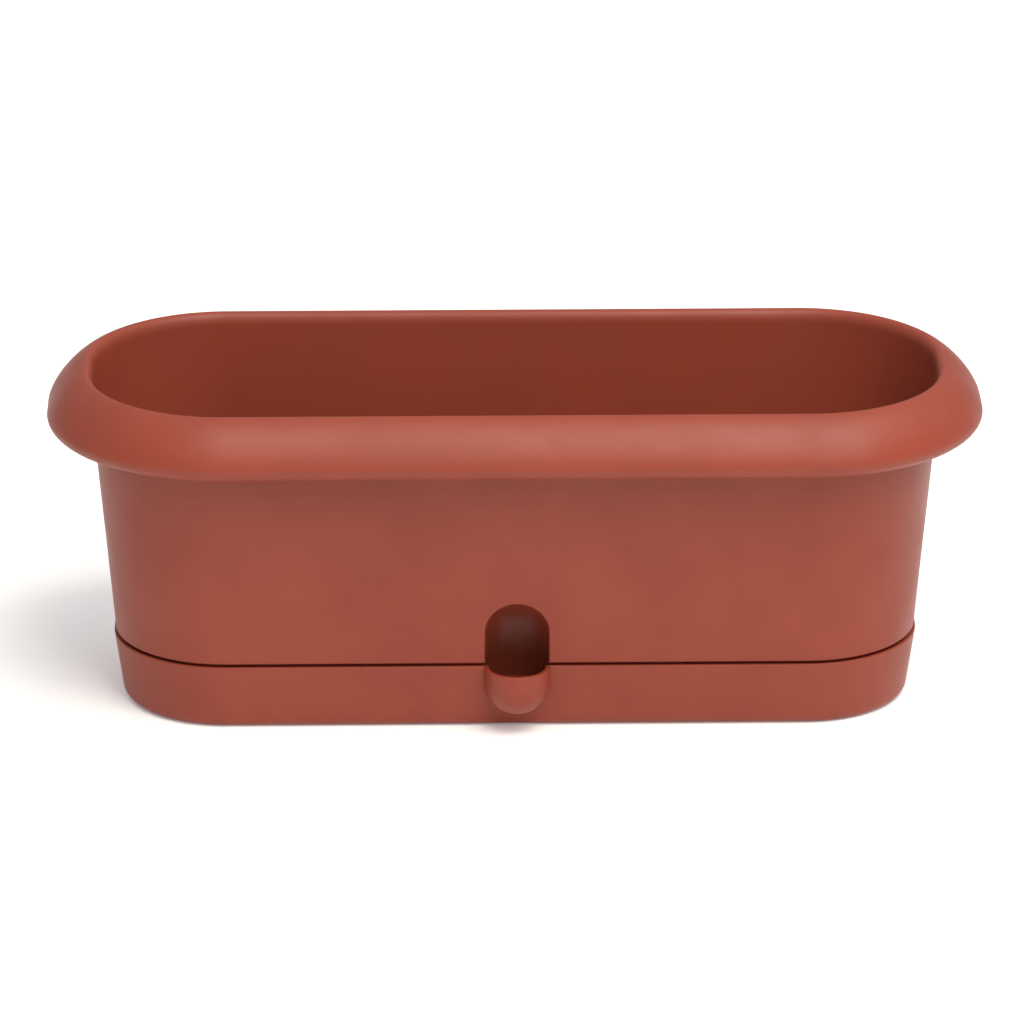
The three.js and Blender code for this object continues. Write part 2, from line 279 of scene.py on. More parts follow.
def set_input(modifier, name, value):
    """Set a node tree's named input on its modifier, by the socket's identifier."""
    for item in modifier.node_group.interface.items_tree:
        if item.item_type == "SOCKET" and item.in_out == "INPUT" and item.name == name:
            modifier[item.identifier] = value
            return
    raise KeyError(name)


SWEEP = sweep_tree()

# %% Path round the planter
PATH_R = 45 * MM
ARC_STEPS = 36
LONG_STEPS = 16
SHORT_STEPS = 2


def path_points(radius):
    """The rounded rectangle as points, anticlockwise, with steps in its straights too."""
    corners = [(CORNER_X, CORNER_Y), (-CORNER_X, CORNER_Y), (-CORNER_X, -CORNER_Y), (CORNER_X, -CORNER_Y)]
    points = []
    for k, (cx, cy) in enumerate(corners):
        for i in range(ARC_STEPS + 1):
            turn = math.pi / 2 * (k + i / ARC_STEPS)
            points.append(Vector((cx + radius * math.cos(turn), cy + radius * math.sin(turn), 0)))
        nx, ny = corners[(k + 1) % 4]
        turn = math.pi / 2 * (k + 1)
        end = Vector((nx + radius * math.cos(turn), ny + radius * math.sin(turn), 0))
        steps = LONG_STEPS if k % 2 == 0 else SHORT_STEPS
        start = points[-1]
        points += [start.lerp(end, i / steps) for i in range(1, steps)]
    return points


def ring_edges(count):
    return [(i, (i + 1) % count) for i in range(count)]


loop = path_points(PATH_R)
PATH = new_object("path", loop, edges=ring_edges(len(loop)))
PATH.hide_render = True
print("path points:", len(loop))


# %% Sweep a section and close its two ends
def close_ends(bm):
    """Each end of the section leaves one level ring open, and a flat face closes it."""
    open_edges = {e for e in bm.edges if len(e.link_faces) == 1}
    while open_edges:
        start = open_edges.pop()
        ring, at = [start.verts[0]], start.verts[1]
        while at is not ring[0]:
            ring.append(at)
            edge = next(e for e in at.link_edges if e in open_edges)
            open_edges.remove(edge)
            at = edge.other_vert(at)
        bm.faces.new(ring)
    bmesh.ops.recalc_face_normals(bm, faces=bm.faces)


def swept(name, section):
    """A closed solid from a section that starts under the planter and ends on its upper side."""
    points = [(radius - PATH_R, -z, 0) for radius, z in section]
    edges = [(i, i + 1) for i in range(len(points) - 1)]
    obj = new_object(name, points, edges=edges)
    modifier = obj.modifiers.new("sweep", "NODES")
    modifier.node_group = SWEEP
    set_input(modifier, "Path", PATH)
    bake(obj)
    edit(obj, close_ends)
    return obj


# %% [markdown]
# ## Punching rows of holes
#
# The pot's floor has drain holes and wick slots, and each tile has rows of drain slots. They are all
# one job: a rounded slot, repeated at a list of places, cut out of a plate. The tree makes the
# cutter from a filleted rectangle pulled through the plate, puts it on every point, and subtracts
# the lot in one boolean. A slot as long as it is wide is a round hole.

# %% Node tree that punches slots
def punch_tree():
    tree = bpy.data.node_groups.new("Punch slots", "GeometryNodeTree")
    sockets = tree.interface
    sockets.new_socket("Plate", in_out="INPUT", socket_type="NodeSocketGeometry")
    sockets.new_socket("Centres", in_out="INPUT", socket_type="NodeSocketObject")
    for name in ("Width", "Length", "Corner Radius", "Depth"):
        sockets.new_socket(name, in_out="INPUT", socket_type="NodeSocketFloat")
    sockets.new_socket("Material", in_out="INPUT", socket_type="NodeSocketMaterial")
    sockets.new_socket("Punched", in_out="OUTPUT", socket_type="NodeSocketGeometry")
    add = tree.nodes.new
    source, result = add("NodeGroupInput"), add("NodeGroupOutput")
    centres, to_points = add("GeometryNodeObjectInfo"), add("GeometryNodeMeshToPoints")
    slot, fillet = add("GeometryNodeCurvePrimitiveQuadrilateral"), add("GeometryNodeFilletCurve")
    line, upright = add("GeometryNodeCurvePrimitiveLine"), add("ShaderNodeCombineXYZ")
    half, below = add("ShaderNodeMath"), add("ShaderNodeCombineXYZ")
    pull, place = add("GeometryNodeCurveToMesh"), add("GeometryNodeInstanceOnPoints")
    realize, cut = add("GeometryNodeRealizeInstances"), add("GeometryNodeMeshBoolean")
    paint = add("GeometryNodeSetMaterial")
    half.operation, half.inputs[1].default_value = "MULTIPLY", -1.0
    cut.operation, cut.solver = "DIFFERENCE", "EXACT"
    fillet.mode = "POLY"
    fillet.inputs["Count"].default_value = 7
    fillet.inputs["Limit Radius"].default_value = True
    pull.inputs["Fill Caps"].default_value = True
    link = tree.links.new
    link(source.outputs["Centres"], centres.inputs["Object"])
    link(centres.outputs["Geometry"], to_points.inputs["Mesh"])
    link(source.outputs["Width"], slot.inputs["Width"])
    link(source.outputs["Length"], slot.inputs["Height"])
    link(slot.outputs["Curve"], fillet.inputs["Curve"])
    link(source.outputs["Corner Radius"], fillet.inputs["Radius"])
    link(source.outputs["Depth"], upright.inputs["Z"])
    link(source.outputs["Depth"], half.inputs[0])
    link(half.outputs[0], below.inputs["Z"])
    link(below.outputs[0], line.inputs["Start"])
    link(upright.outputs[0], line.inputs["End"])
    link(line.outputs["Curve"], pull.inputs["Curve"])
    link(fillet.outputs["Curve"], pull.inputs["Profile Curve"])
    link(to_points.outputs["Points"], place.inputs["Points"])
    link(pull.outputs["Mesh"], place.inputs["Instance"])
    link(place.outputs["Instances"], realize.inputs["Geometry"])
    link(source.outputs["Plate"], cut.inputs["Mesh 1"])
    link(realize.outputs["Geometry"], cut.inputs["Mesh 2"])
    link(cut.outputs["Mesh"], paint.inputs["Geometry"])
    link(source.outputs["Material"], paint.inputs["Material"])
    link(paint.outputs["Geometry"], result.inputs["Punched"])
    return tree


PUNCH = punch_tree()


def punch(obj, centres, width, length, depth, corner_radius=None):
    """Cut a slot of width (along X) and length (along Y) through the plate at each centre."""
    marks = new_object("marks", centres)
    modifier = obj.modifiers.new("punch", "NODES")
    modifier.node_group = PUNCH
    set_input(modifier, "Centres", marks)
    set_input(modifier, "Width", width)
    set_input(modifier, "Length", length)
    set_input(modifier, "Corner Radius", width / 2 * 0.999 if corner_radius is None else corner_radius)
    set_input(modifier, "Depth", depth)
    bake(obj)
    remove(marks)
    return obj


# %% [markdown]
# ## The water tray
#
# The tray is a shallow dish. Its underside is raised inside a standing ring, so it doesn't rock, and
# its base edge is a generous curve. Its section starts in the middle of the underside, goes round the
# ring and up the wall, over the rounded brim, and back down to the floor inside.

# %% Tray shell
EDGE = 0.5 * MM


def tray_section():
    inner_r = TRAY_BASE_R - WALL
    inner_round = TRAY_EDGE_R - TRAY_FLOOR + 1 * MM
    brim_in = TRAY_BRIM_R - WALL
    return [
        (PANEL_R - 1.9 * MM, PANEL_LIFT),
        *arc(PANEL_R - 1.5 * MM, PANEL_LIFT - 0.4 * MM, 0.4 * MM, 0.4 * MM, 80, 20, 2),
        (PANEL_R - 0.4 * MM, 0.25 * MM),
        (PANEL_R + 0.1 * MM, 0),
        *arc(TRAY_BASE_R - TRAY_EDGE_R, TRAY_EDGE_R, TRAY_EDGE_R, TRAY_EDGE_R, -90, 0, 12),
        *arc(TRAY_BRIM_R - EDGE, TRAY_TOP - EDGE, EDGE, EDGE, 0, 90, 4),
        *arc(brim_in + EDGE, TRAY_TOP - EDGE, EDGE, EDGE, 90, 180, 4),
        *arc(inner_r - inner_round, TRAY_FLOOR + inner_round, inner_round, inner_round, 0, -90, 8),
        (PANEL_R + 1 * MM, TRAY_FLOOR),
        (PANEL_R - 1 * MM, TRAY_FLOOR + PANEL_LIFT),
        (PANEL_R - 3 * MM, TRAY_FLOOR + PANEL_LIFT),
    ]


tray = swept("tray_shell", tray_section())
print("tray shell faces:", len(tray.data.polygons))

# %% [markdown]
# The cup is the lower half of the filling well. It is a bowl half buried in the tray's long wall. The
# part of it that lies inside the tray is taken away first, then it is added, and then its own hollow
# is cut through both, with a lip that flares a little so the brim is round.

# %% Cup of the filling well
WELL_SEGMENTS = 96


def bowl(name, radius, top, flare):
    """An upright tube with a round bottom. A positive flare opens the top edge, a negative one rounds it."""
    straight = top - abs(flare)
    profile = arc(0, CUP_BOWL_Z, radius, radius, -90, 0, 20)
    profile[0] = (0, profile[0][1])
    if flare > 0:
        profile += arc(radius + flare, straight, flare, flare, 180, 90, 4)
        profile += [(radius + flare, top + 3 * MM), (0, top + 3 * MM)]
    else:
        profile += arc(radius + flare, straight, -flare, -flare, 0, 90, 4) + [(0, top)]
    return spun(name, profile, 0, WELL_Y, WELL_SEGMENTS)


cup = bowl("cup", CUP_R, TRAY_TOP - 0.01 * MM, -EDGE)
sunk = 0.7 * MM
inside = swept("tray_hollow", [
    (PANEL_R, TRAY_FLOOR),
    (TRAY_BASE_R - WALL + sunk, TRAY_FLOOR + TRAY_EDGE_R),
    (TRAY_BRIM_R - WALL + sunk, TRAY_TOP),
    (TRAY_BRIM_R - WALL + sunk, TRAY_TOP + 4 * MM),
    (PANEL_R, TRAY_TOP + 4 * MM),
])
combine(cup, inside, "DIFFERENCE")
combine(tray, cup, "UNION")
combine(tray, bowl("cup_hollow", CUP_R - WALL, TRAY_TOP, EDGE), "DIFFERENCE")
print("tray with cup faces:", len(tray.data.polygons))

# %% [markdown]
# Six tubular posts stand on the tray's floor and carry the pot. Each is joined to the floor by a small
# curve. One post is made, and a tree puts a copy of it on every place, so all six join the tray in one
# boolean.

# %% Node tree that places copies
def copies_tree():
    tree = bpy.data.node_groups.new("Place copies", "GeometryNodeTree")
    sockets = tree.interface
    sockets.new_socket("Part", in_out="INPUT", socket_type="NodeSocketGeometry")
    sockets.new_socket("Places", in_out="INPUT", socket_type="NodeSocketObject")
    sockets.new_socket("Material", in_out="INPUT", socket_type="NodeSocketMaterial")
    sockets.new_socket("Copies", in_out="OUTPUT", socket_type="NodeSocketGeometry")
    add = tree.nodes.new
    source, result = add("NodeGroupInput"), add("NodeGroupOutput")
    places, to_points = add("GeometryNodeObjectInfo"), add("GeometryNodeMeshToPoints")
    place, realize = add("GeometryNodeInstanceOnPoints"), add("GeometryNodeRealizeInstances")
    paint = add("GeometryNodeSetMaterial")
    link = tree.links.new
    link(source.outputs["Places"], places.inputs["Object"])
    link(places.outputs["Geometry"], to_points.inputs["Mesh"])
    link(to_points.outputs["Points"], place.inputs["Points"])
    link(source.outputs["Part"], place.inputs["Instance"])
    link(place.outputs["Instances"], realize.inputs["Geometry"])
    link(realize.outputs["Geometry"], paint.inputs["Geometry"])
    link(source.outputs["Material"], paint.inputs["Material"])
    link(paint.outputs["Geometry"], result.inputs["Copies"])
    return tree


COPIES = copies_tree()


def copied(obj, places):
    """The object repeated at each place, as one mesh."""
    marks = new_object("marks", places)
    modifier = obj.modifiers.new("copies", "NODES")
    modifier.node_group = COPIES
    set_input(modifier, "Places", marks)
    bake(obj)
    remove(marks)
    return obj


# %% Posts
POST_R = 7 * MM
POST_BORE_R = 5 * MM
POST_PLACES = [(x * 90 * MM, y * 24 * MM, 0) for x in (-1, 0, 1) for y in (-1, 1)]
POST_TOP = POT_FLOOR_Z - POT_FLOOR - 0.3 * MM
floor_top = TRAY_FLOOR + PANEL_LIFT
foot = arc(POST_R + 1.5 * MM, floor_top + 1.5 * MM, 1.5 * MM, 1.5 * MM, -110, -180, 6)
crown = arc(POST_R - 0.5 * MM, POST_TOP - EDGE, EDGE, EDGE, 0, 90, 3)
middle_z = TRAY_FLOOR + PANEL_LIFT / 2
post = spun("posts", [(0, middle_z), (foot[0][0], middle_z), *foot, *crown, (0, POST_TOP)], 0, 0, 40)
hole = [(0, floor_top + MM), (POST_BORE_R - 0.6 * MM, floor_top + MM)]
hole += [(POST_BORE_R - 0.3 * MM, floor_top + 1.2 * MM), (POST_BORE_R, POST_TOP + MM), (0, POST_TOP + MM)]
combine(tray, copied(post, POST_PLACES), "UNION")
combine(tray, copied(spun("bores", hole, 0, 0, 40), POST_PLACES), "DIFFERENCE")
polish(tray)
print("tray faces:", len(tray.data.polygons), "open edges:", open_edges(tray))

# %% [markdown]
# ## The planting pot
#
# The pot's section starts under its floor, runs down the foot skirt that nests in the tray, steps out
# at the ledge above the tray's brim, and climbs the leaning wall. The rim is the part everyone sees
# and holds: a broad roll, hollow and open below, whose outer curve is flatter than an ellipse near
# the crest and then turns in under itself. The inner wall has a faint step level with the rim's lip.

# %% Rim and shell of the pot
CREST_HEIGHT = RIM_TOP - RIM_WIDE_Z
MOUTH = 6 * MM
STEP_Z = 120 * MM
STEP = 0.5 * MM


def relaxed(points, passes):
    """Even out small kinks in a chain of section points, with its ends held."""
    for _ in range(passes):
        points = [
            points[0],
            *[
                tuple(0.25 * a + 0.5 * b + 0.25 * c for a, b, c in zip(*three))
                for three in zip(points, points[1:], points[2:])
            ],
            points[-1],
        ]
    return points


def rim_section():
    wall_r = pot_wall(RIM_WIDE_Z)
    under = arc(wall_r, RIM_WIDE_Z, RIM_WIDE_R - RIM_WALL - wall_r, CREST_HEIGHT - RIM_WALL, 84, 4, 16, RIM_POWER)
    curl_in = RIM_WIDE_R - RIM_WALL - RIM_LIP_R
    curl_depth = RIM_WIDE_Z - RIM_LIP_Z
    under_curl = arc(RIM_LIP_R, RIM_WIDE_Z, curl_in, curl_depth - RIM_WALL, -8, -90, 10)
    lip_r = RIM_WALL / 2
    lip = arc(RIM_LIP_R, RIM_LIP_Z + lip_r, lip_r, lip_r, 90, 270, 8)
    curl = arc(RIM_LIP_R, RIM_WIDE_Z, RIM_WIDE_R - RIM_LIP_R, curl_depth, -84, -8, 12)
    crest = arc(RIM_CREST_R, RIM_WIDE_Z, RIM_WIDE_R - RIM_CREST_R, CREST_HEIGHT, 0, 90, 32, RIM_POWER)
    mouth_z = RIM_TOP - MOUTH
    mouth_r = RIM_CREST_R - (pot_wall(mouth_z) - WALL)
    mouth = arc(RIM_CREST_R, mouth_z, mouth_r, MOUTH, 100, 180, 9)
    return [*under, *under_curl, *lip[1:-1], *curl, *crest, *mouth]


def pot_section():
    under_floor = POT_FLOOR_Z - POT_FLOOR
    lower_wall = WALL + STEP
    floor_round = 3 * MM
    inner_r = pot_wall(POT_FLOOR_Z + floor_round) - lower_wall
    foot_edge = 0.6 * MM
    foot_r = foot_wall(FOOT_Z)
    ledge_edge = 0.7 * MM
    roof = pot_wall(RIM_TOP - RIM_WALL - 3 * MM)
    return [
        (foot_wall(under_floor) - WALL - 6 * MM, under_floor),
        (foot_wall(under_floor) - WALL - 0.6 * MM, under_floor),
        (foot_wall(under_floor) - WALL, under_floor - 0.6 * MM),
        *arc(foot_r - WALL + foot_edge, FOOT_Z + foot_edge, foot_edge, foot_edge, 180, 270, 3),
        *arc(foot_r - foot_edge, FOOT_Z + foot_edge, foot_edge, foot_edge, -90, 0, 3),
        (FOOT_TOP_R, LEDGE_Z - 0.4 * MM),
        (FOOT_TOP_R + 0.4 * MM, LEDGE_Z),
        *arc(LEDGE_R - ledge_edge, LEDGE_Z + ledge_edge, ledge_edge, ledge_edge, -90, 0, 5),
        (roof, RIM_TOP - RIM_WALL - 3 * MM),
        (roof + 0.4 * MM, RIM_TOP - RIM_WALL - 1.4 * MM),
        *relaxed(rim_section(), 2),
        (pot_wall(STEP_Z) - WALL, STEP_Z),
        (pot_wall(STEP_Z) - lower_wall, STEP_Z - 0.8 * MM),
        *arc(inner_r - floor_round, POT_FLOOR_Z + floor_round, floor_round, floor_round, 0, -90, 7),
        (inner_r - floor_round - 2 * MM, POT_FLOOR_Z),
    ]


pot = swept("pot_shell", pot_section())
print("pot shell faces:", len(pot.data.polygons))

# %% [markdown]
# The niche is the upper half of the well: an upright tube with a domed top, sunk into the long wall.
# It has a wall of its own on the inside of the pot. That wall is a larger dome, kept to the part that
# lies within the pot, and it joins the pot before the hollow is cut.


# %% Wall of the niche
def dome(name, radius, bottom):
    profile = [(0, bottom), (radius, bottom), *arc(0, NICHE_DOME_Z, radius, radius, 0, 90, 24)]
    profile[-1] = (0, profile[-1][1])
    return spun(name, profile, 0, WELL_Y, WELL_SEGMENTS)


niche_wall = dome("niche_wall", NICHE_R + WALL, FOOT_Z + 0.2 * MM)
within = swept("pot_body", [
    (PANEL_R, FOOT_Z - MM),
    (foot_wall(FOOT_Z) - sunk, FOOT_Z - MM),
    (FOOT_TOP_R - sunk, LEDGE_Z + 0.5 * MM),
    (pot_wall(LEDGE_Z) - sunk, LEDGE_Z + 0.6 * MM),
    (pot_wall(80 * MM) - sunk, 80 * MM),
    (PANEL_R, 80 * MM),
])
combine(niche_wall, within, "INTERSECT")
combine(pot, niche_wall, "UNION")
combine(pot, dome("niche", NICHE_R, FOOT_Z - 5 * MM), "DIFFERENCE")
print("pot with niche faces:", len(pot.data.polygons))

# %% [markdown]
# The niche's mouth isn't a sharp edge. It is rounded where the hollow meets the wall. A bevel after
# a boolean is fragile, so the rounding is a cutter too: a ring of arches that follows the mouth and
# opens outwards through a quarter circle, a little at a time.

# %% Round the niche's mouth
MOUTH_EDGE = 0.9 * MM
ARCH_LEG_STEPS = 10
ARCH_DOME_STEPS = 40


def front_face(z):
    """Y of the pot's front face at a height."""
    return -(CORNER_Y + pot_wall(z))


def arch(depth, bottom):
    """The niche's outline, as (x, z), on a sheet that lies the given depth behind the pot's front."""
    def gap(z):
        return front_face(z) + depth - WELL_Y

    legs = []
    for i in range(ARCH_LEG_STEPS):
        z = bottom + (NICHE_DOME_Z - bottom) * i / ARCH_LEG_STEPS
        legs.append((math.sqrt(NICHE_R**2 - gap(z) ** 2), z))
    at_dome = gap(NICHE_DOME_Z)
    top = []
    for i in range(ARCH_DOME_STEPS + 1):
        turn = math.pi * (1 - i / ARCH_DOME_STEPS)
        c, s = math.cos(turn), math.sin(turn)
        lean = WALL_SLOPE * s
        a = 1 + lean**2
        b = -at_dome * lean
        reach = (-b + math.sqrt(b * b - a * (at_dome**2 - NICHE_R**2))) / a
        top.append((reach * c, NICHE_DOME_Z + reach * s))
    return [(-x, z) for x, z in legs] + top + legs[::-1]


def grown(outline, amount):
    """Move an open outline outwards, to its left as it runs over the arch."""
    moved = []
    for i, (x, z) in enumerate(outline):
        before, after = outline[max(i - 1, 0)], outline[min(i + 1, len(outline) - 1)]
        along = Vector((after[0] - before[0], after[1] - before[1])).normalized()
        moved.append((x - along.y * amount, z + along.x * amount))
    return moved


def beyond(start, end, distance):
    """The point that lies past the end of a line by a distance."""
    along = (Vector(end) - Vector(start)).normalized()
    return tuple(Vector(end) + along * distance)


def mouth_cutter():
    bottom = LEDGE_Z - 4 * MM
    base = arch(MOUTH_EDGE, bottom)
    turns = [math.radians(degrees) for degrees in (9, 27, 45, 63, 81)]
    round_edge = [(MOUTH_EDGE * (1 - math.cos(t)), MOUTH_EDGE * (1 - math.sin(t))) for t in turns]
    steps = [beyond(round_edge[1], round_edge[0], 1.2 * MM), *round_edge]
    steps.append(beyond(round_edge[-2], round_edge[-1], 1.2 * MM))
    steps.append((steps[-1][0], -3 * MM))
    vertices, faces = [], []
    for out, depth in steps:
        vertices += [(x, front_face(z) + depth, z) for x, z in grown(base, out)]
    count = len(base)
    for level in range(len(steps) - 1):
        for i in range(count):
            j = (i + 1) % count
            start = level * count
            faces.append((start + i, start + j, start + count + j, start + count + i))
    faces.append(tuple(range(count)))
    faces.append(tuple(range(len(vertices) - count, len(vertices))))
    obj = new_object("mouth_cutter", vertices, faces)
    edit(obj, lambda bm: bmesh.ops.recalc_face_normals(bm, faces=bm.faces))
    return obj


combine(pot, mouth_cutter(), "DIFFERENCE")
print("pot faces with a rounded mouth:", len(pot.data.polygons))

# %% [markdown]
# The floor has slots for the wicks' tails and small drain holes between them.

# %% Holes in the pot's floor
WICK_X = [55 * MM, 128 * MM]
TAIL_X = 12 * MM
SLOT_WIDTH = 3.8 * MM
SLOT_LENGTH = 21 * MM
slots = [
    (side * x + tail, 0, POT_FLOOR_Z)
    for side in (-1, 1)
    for x in WICK_X
    for tail in (-TAIL_X, TAIL_X)
]
drains = [
    (side * x * MM, y * 34 * MM, POT_FLOOR_Z)
    for side in (-1, 1)
    for x in (24, 78, 102, 152)
    for y in (-1, 1)
]
punch(pot, slots, SLOT_WIDTH, SLOT_LENGTH, 4 * MM, 0.6 * MM)
punch(pot, drains, 3.8 * MM, 3.8 * MM, 4 * MM)
polish(pot)
print("pot faces:", len(pot.data.polygons), "open edges:", open_edges(pot))

# %% [markdown]
# ## The grid tiles
#
# Each tile fills half of the pot. It is a 2 mm plate with rows of slots that let air and water
# through but hold the soil. Four ribs stiffen it from below, and pegs keep it off the pot's floor.
# A notch clears the back of the niche. One tile is made for the right half and mirrored for the left.

# %% Tile plate, ribs and pegs
TILE_Z = 36 * MM
TILE_TOP = tile_high.z
TILE_R = tile_high.x - CORNER_X
TILE_INNER_X = tile_low.x
NOTCH_R = NICHE_R + WALL + 1.8 * MM
PEG_PLACES = [(8, 47.5), (90.5, 47.5), (144.5, 30), (144.5, -30), (90.5, -47.5), (26, -47.5), (90.5, 0)]


def prism(name, outline, bottom, top):
    count = len(outline)
    vertices = [(x, y, bottom) for x, y in outline] + [(x, y, top) for x, y in outline]
    faces = [tuple(range(count)), tuple(range(count, 2 * count))]
    faces += [(i, (i + 1) % count, (i + 1) % count + count, i + count) for i in range(count)]
    obj = new_object(name, vertices, faces)
    edit(obj, lambda bm: bmesh.ops.recalc_face_normals(bm, faces=bm.faces))
    return obj


def bow(cx, cy, radius, start, stop, steps):
    turns = [start + (stop - start) * i / steps for i in range(steps + 1)]
    return [(cx + radius * math.cos(t), cy + radius * math.sin(t)) for t in turns]


def tile_outline():
    half = CORNER_Y + TILE_R
    rise = math.asin((-half - WELL_Y) / NOTCH_R)
    turn = math.acos(TILE_INNER_X / NOTCH_R)
    return [
        *bow(0, WELL_Y, NOTCH_R, turn, rise, 20),
        *bow(CORNER_X, -CORNER_Y, TILE_R, -math.pi / 2, 0, 24),
        *bow(CORNER_X, CORNER_Y, TILE_R, 0, math.pi / 2, 24),
        (TILE_INNER_X, half),
    ]


tile = prism("grid_right", tile_outline(), TILE_Z, TILE_TOP)
for y in (-27.75, -11.75, 11.75, 27.75):
    ends = (22 * MM if y < 0 else 4 * MM, (158 if abs(y) < 20 else 148) * MM)
    rib = [(ends[0], (y - 0.55) * MM), (ends[1], (y - 0.55) * MM), (ends[1], (y + 0.55) * MM), (ends[0], (y + 0.55) * MM)]
    combine(tile, prism("rib", rib, TILE_Z - 2.4 * MM, TILE_Z + MM), "UNION")
peg_foot = tile_low.z
for x, y in PEG_PLACES:
    profile = [(0, peg_foot), (1.9 * MM, peg_foot), (2.3 * MM, peg_foot + 0.4 * MM), (2.5 * MM, TILE_Z + MM)]
    combine(tile, spun("peg", [*profile, (0, TILE_Z + MM)], x * MM, y * MM, 24), "UNION")
print("tile faces before slots:", len(tile.data.polygons), "open edges:", open_edges(tile))

# %% [markdown]
# The drain slots stand in five rows. A place is left out where its slot would come too near the
# tile's end, the notch, or the wicks in the middle row. A fine bevel then breaks every edge.

# %% Drain slots of the tile
DRAIN_WIDTH, DRAIN_LENGTH = 3 * MM, 12 * MM
PITCH_X, PITCH_Y = 9 * MM, 18.5 * MM


def drain_places():
    places = []
    for row in range(-2, 3):
        for column in range(16):
            x, y = 14 * MM + column * PITCH_X, row * PITCH_Y
            beyond = max(x - CORNER_X, 0), max(abs(y) - CORNER_Y, 0) + 5 * MM
            in_plate = math.hypot(*beyond) < TILE_R - 6 * MM
            clear_of_notch = math.hypot(x, y - DRAIN_LENGTH / 2 - WELL_Y) > NOTCH_R + 5 * MM
            clear_of_wicks = row != 0 or all(abs(x - w) > TAIL_X + 8 * MM for w in WICK_X)
            if in_plate and clear_of_notch and clear_of_wicks:
                places.append((x, y, TILE_Z + MM))
    return places


places = drain_places()
punch(tile, places, DRAIN_WIDTH, DRAIN_LENGTH, 2 * MM)
wick_slots = [(x + tail, 0, TILE_Z + MM) for x in WICK_X for tail in (-TAIL_X, TAIL_X)]
punch(tile, wick_slots, SLOT_WIDTH, SLOT_LENGTH, 2 * MM, 0.6 * MM)
edit(tile, clean)
bevel = tile.modifiers.new("broken edges", "BEVEL")
bevel.width = 0.22 * MM
bevel.segments = 2
bevel.limit_method = "ANGLE"
bevel.angle_limit = math.radians(50)
bake(tile)
polish(tile)
print("drain slots:", len(places), "tile faces:", len(tile.data.polygons), "open edges:", open_edges(tile))

# %% Left tile
left_tile = tile.copy()
left_tile.data = tile.data.copy()
left_tile.name = left_tile.data.name = "grid_left"
bpy.context.scene.collection.objects.link(left_tile)
for vertex in left_tile.data.vertices:
    vertex.co.x = -vertex.co.x
left_tile.data.flip_normals()
polish(left_tile)

# %% [markdown]
# ## The felt wicks
#
# A wick is a plain strip cut from a sheet of needled felt, 20 mm wide and 3 mm thick. It goes over
# the tile like a staple, and its two tails hang through the slots into the water. A strap this stiff
# and short hardly drapes, so it is modelled directly: a soft-edged section is carried along the
# strip's middle line, and slow noise makes its faces and its cut edges uneven, as felt is.

# %% Wick strips
FELT = 3 * MM
FELT_WIDTH = 20 * MM
wick_low, wick_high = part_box("felt_wick_right_inner")


def wick_line(middle):
    """The strip's middle line, as (point, direction out of the strip's face)."""
    top = wick_high.z - FELT / 2
    bottom = wick_low.z
    reach = TAIL_X
    bend = 3.5 * MM - FELT / 2
    line = []
    for i in range(22):
        z = bottom + (top - bend - bottom) * i / 22
        line.append((Vector((middle - reach, 0, z)), Vector((-1, 0, 0))))
    for i in range(9):
        turn = math.radians(180 - 90 * i / 8)
        out = Vector((math.cos(turn), 0, math.sin(turn)))
        line.append((Vector((middle - reach + bend, 0, top - bend)) + out * bend, out))
    for i in range(1, 12):
        x = middle + (reach - bend) * (2 * i / 12 - 1)
        line.append((Vector((x, 0, top)), Vector((0, 0, 1))))
    back = [(Vector((2 * middle - p.x, 0, p.z)), Vector((-out.x, 0, out.z))) for p, out in reversed(line[:31])]
    return line + back


def felt_section(steps=10):
    """Soft-edged rectangle, as (across the width, through the thickness), both in metres."""
    edge = 0.8 * MM
    half_w, half_t = FELT_WIDTH / 2, FELT / 2
    corners = [(half_w, half_t, 0), (-half_w, half_t, 90), (-half_w, -half_t, 180), (half_w, -half_t, 270)]
    points = []
    for k, (w, t, start) in enumerate(corners):
        cw, ct = w - math.copysign(edge, w), t - math.copysign(edge, t)
        for i in range(4):
            turn = math.radians(start + 30 * i)
            points.append((cw + edge * math.cos(turn), ct + edge * math.sin(turn)))
        if k % 2 == 0:
            last = points[-1]
            next_w = -math.copysign(half_w - edge, w)
            points += [(last[0] + (next_w - last[0]) * i / steps, last[1]) for i in range(1, steps)]
    return points


def wick(name, middle, seed):
    line, section = wick_line(middle), felt_section()
    vertices, faces = [], []
    for k, (centre, out) in enumerate(line):
        end_fade = min(1.0, 0.55 + 0.15 * min(k, len(line) - 1 - k))
        for w, t in section:
            where = Vector((w, k * 1.4 * MM, t)) * 160 + Vector((seed * 7.3, 0, 0))
            wander = noise.noise(where) * 0.16 * MM
            thickness = t * (0.94 + 0.05 * noise.noise(where * 0.35)) * (0.9 + 0.1 * end_fade)
            edge = w * (0.985 + 0.012 * noise.noise(Vector((seed, k * 0.17, math.copysign(3, w)))))
            vertices.append(centre + out * (thickness + wander * (abs(t) > FELT * 0.4)) + Vector((0, edge, 0)))
    count = len(section)
    for level in range(len(line) - 1):
        for i in range(count):
            j = (i + 1) % count
            start = level * count
            faces.append((start + i, start + j, start + count + j, start + count + i))
    faces.append(tuple(range(count)))
    faces.append(tuple(range(len(vertices) - count, len(vertices))))
    obj = new_object(name, vertices, faces)
    edit(obj, lambda bm: bmesh.ops.recalc_face_normals(bm, faces=bm.faces))
    lengths = [(a[0] - b[0]).length for a, b in zip(line, line[1:])]
    return polish(obj, 50), sum(lengths)


